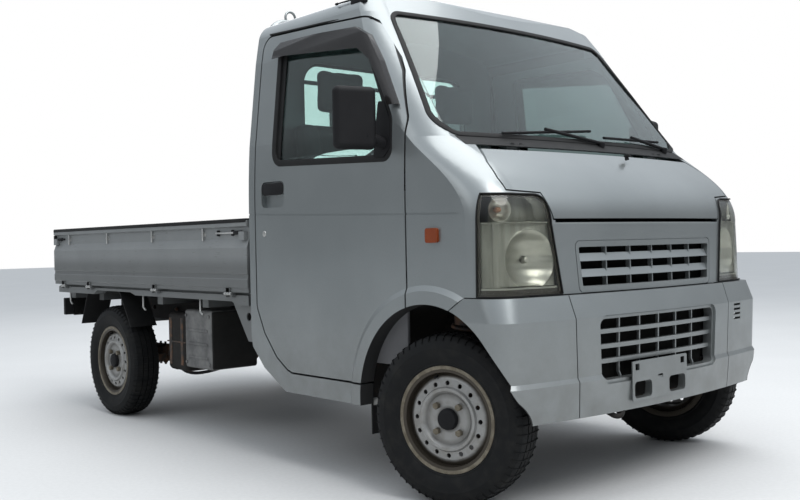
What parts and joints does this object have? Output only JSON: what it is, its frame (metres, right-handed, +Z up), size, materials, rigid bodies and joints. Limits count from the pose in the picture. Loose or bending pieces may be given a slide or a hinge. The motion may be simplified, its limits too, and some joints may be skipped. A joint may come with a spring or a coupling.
{
  "type": "kei truck",
  "caption": "Small flat-bed truck with a short-nosed cab over the front wheels, drop sides and tailgate, opening doors and front lid, steering and rolling wheels.",
  "frame": {"origin": "on the ground under the middle of the whole truck's box", "axes": "+X to the truck's left, +Y to its rear, +Z up"},
  "size_m": [1.8034, 3.395, 1.798],
  "materials": {
    "silver_paint": "satin",
    "grey_paint": "satin",
    "black_paint": "satin",
    "raw_steel": "worn",
    "rusty_iron": "rough",
    "wheel_silver": "worn",
    "tyre_rubber": "matte",
    "black_plastic": "matte",
    "grey_plastic": "matte",
    "rubber": "matte",
    "clear_glass": "gloss",
    "smoked_glass": "gloss",
    "lamp_lens": "gloss",
    "amber_lens": "gloss",
    "red_lens": "gloss",
    "seat_cloth": "matte"
  },
  "bodies": {
    "chassis": {"frame": "black_paint", "cab_floor": "grey_paint", "side_frame_left": "silver_paint", "side_frame_right": "silver_paint", "roof": "silver_paint", "back_wall": "silver_paint", "front_panel": "silver_paint", "bumper": "silver_paint", "upper_grille": "silver_paint", "lower_grille": "grey_plastic", "headlamps": "lamp_lens", "cab_glass": "clear_glass", "seats": "seat_cloth", "dashboard": "grey_plastic", "wipers": "black_plastic", "engine": "raw_steel", "suspension": "rusty_iron", "exhaust": "raw_steel", "fuel_tank": "black_paint", "air_box": "grey_plastic", "bed_floor": "grey_paint", "headboard": "silver_paint", "rear_lamps": "red_lens", "marker_lamps": "amber_lens", "mudguards": "rubber"},
    "knuckle_left": {"knuckle_left": "rusty_iron"},
    "knuckle_right": {"knuckle_right": "rusty_iron"},
    "wheel_front_left": {"rim_front_left": "wheel_silver", "tyre_front_left": "tyre_rubber"},
    "wheel_front_right": {"rim_front_right": "wheel_silver", "tyre_front_right": "tyre_rubber"},
    "wheel_rear_left": {"rim_rear_left": "wheel_silver", "tyre_rear_left": "tyre_rubber"},
    "wheel_rear_right": {"rim_rear_right": "wheel_silver", "tyre_rear_right": "tyre_rubber"},
    "door_left": {"door_left": "silver_paint", "door_glass_left": "smoked_glass", "mirror_left": "black_plastic"},
    "door_right": {"door_right": "silver_paint", "door_glass_right": "smoked_glass", "mirror_right": "black_plastic"},
    "front_lid": {"front_lid": "silver_paint"},
    "gate_left": {"gate_left": "silver_paint"},
    "gate_right": {"gate_right": "silver_paint"},
    "tailgate": {"tailgate": "silver_paint"}
  },
  "joints": [
    {"name": "steer_left", "type": "hinge", "parent": "chassis", "child": "knuckle_left", "pos_m": [0.545, -1.305, 0.38], "axis": [0, 0, 1], "range_deg": [-49, 17]},
    {"name": "steer_right", "type": "hinge", "parent": "chassis", "child": "knuckle_right", "pos_m": [-0.545, -1.305, 0.38], "axis": [0, 0, 1], "range_deg": [-49, 17]},
    {"name": "spin_front_left", "type": "hinge", "parent": "knuckle_left", "child": "wheel_front_left", "pos_m": [0.64113, -1.27744, 0.271], "axis": [0.9613, 0.2756, 0], "continuous": true},
    {"name": "spin_front_right", "type": "hinge", "parent": "knuckle_right", "child": "wheel_front_right", "pos_m": [-0.64113, -1.33256, 0.271], "axis": [0.9613, 0.2756, 0], "continuous": true},
    {"name": "spin_rear_left", "type": "hinge", "parent": "chassis", "child": "wheel_rear_left", "pos_m": [0.645, 1.045, 0.271], "axis": [1, 0, 0], "continuous": true},
    {"name": "spin_rear_right", "type": "hinge", "parent": "chassis", "child": "wheel_rear_right", "pos_m": [-0.645, 1.045, 0.271], "axis": [1, 0, 0], "continuous": true},
    {"name": "door_left_swing", "type": "hinge", "parent": "chassis", "child": "door_left", "pos_m": [0.721, -1.183, 0.8], "axis": [0, 0, -1], "range_deg": [0, 68]},
    {"name": "door_right_swing", "type": "hinge", "parent": "chassis", "child": "door_right", "pos_m": [-0.721, -1.183, 0.8], "axis": [0, 0, 1], "range_deg": [0, 68]},
    {"name": "front_lid_lift", "type": "hinge", "parent": "chassis", "child": "front_lid", "pos_m": [0, -1.375, 1.14], "axis": [-1, 0, 0], "range_deg": [0, 48]},
    {"name": "gate_left_drop", "type": "hinge", "parent": "chassis", "child": "gate_left", "pos_m": [0.7325, 0.7135, 0.638], "axis": [0, 1, 0], "range_deg": [0, 172]},
    {"name": "gate_right_drop", "type": "hinge", "parent": "chassis", "child": "gate_right", "pos_m": [-0.7325, 0.7135, 0.638], "axis": [0, -1, 0], "range_deg": [0, 172]},
    {"name": "tailgate_drop", "type": "hinge", "parent": "chassis", "child": "tailgate", "pos_m": [0, 1.6925, 0.638], "axis": [-1, 0, 0], "range_deg": [0, 172]}
  ],
  "couplings": [
    {"joint": "steer_right", "follows": "steer_left", "ratio": 1}
  ]
}
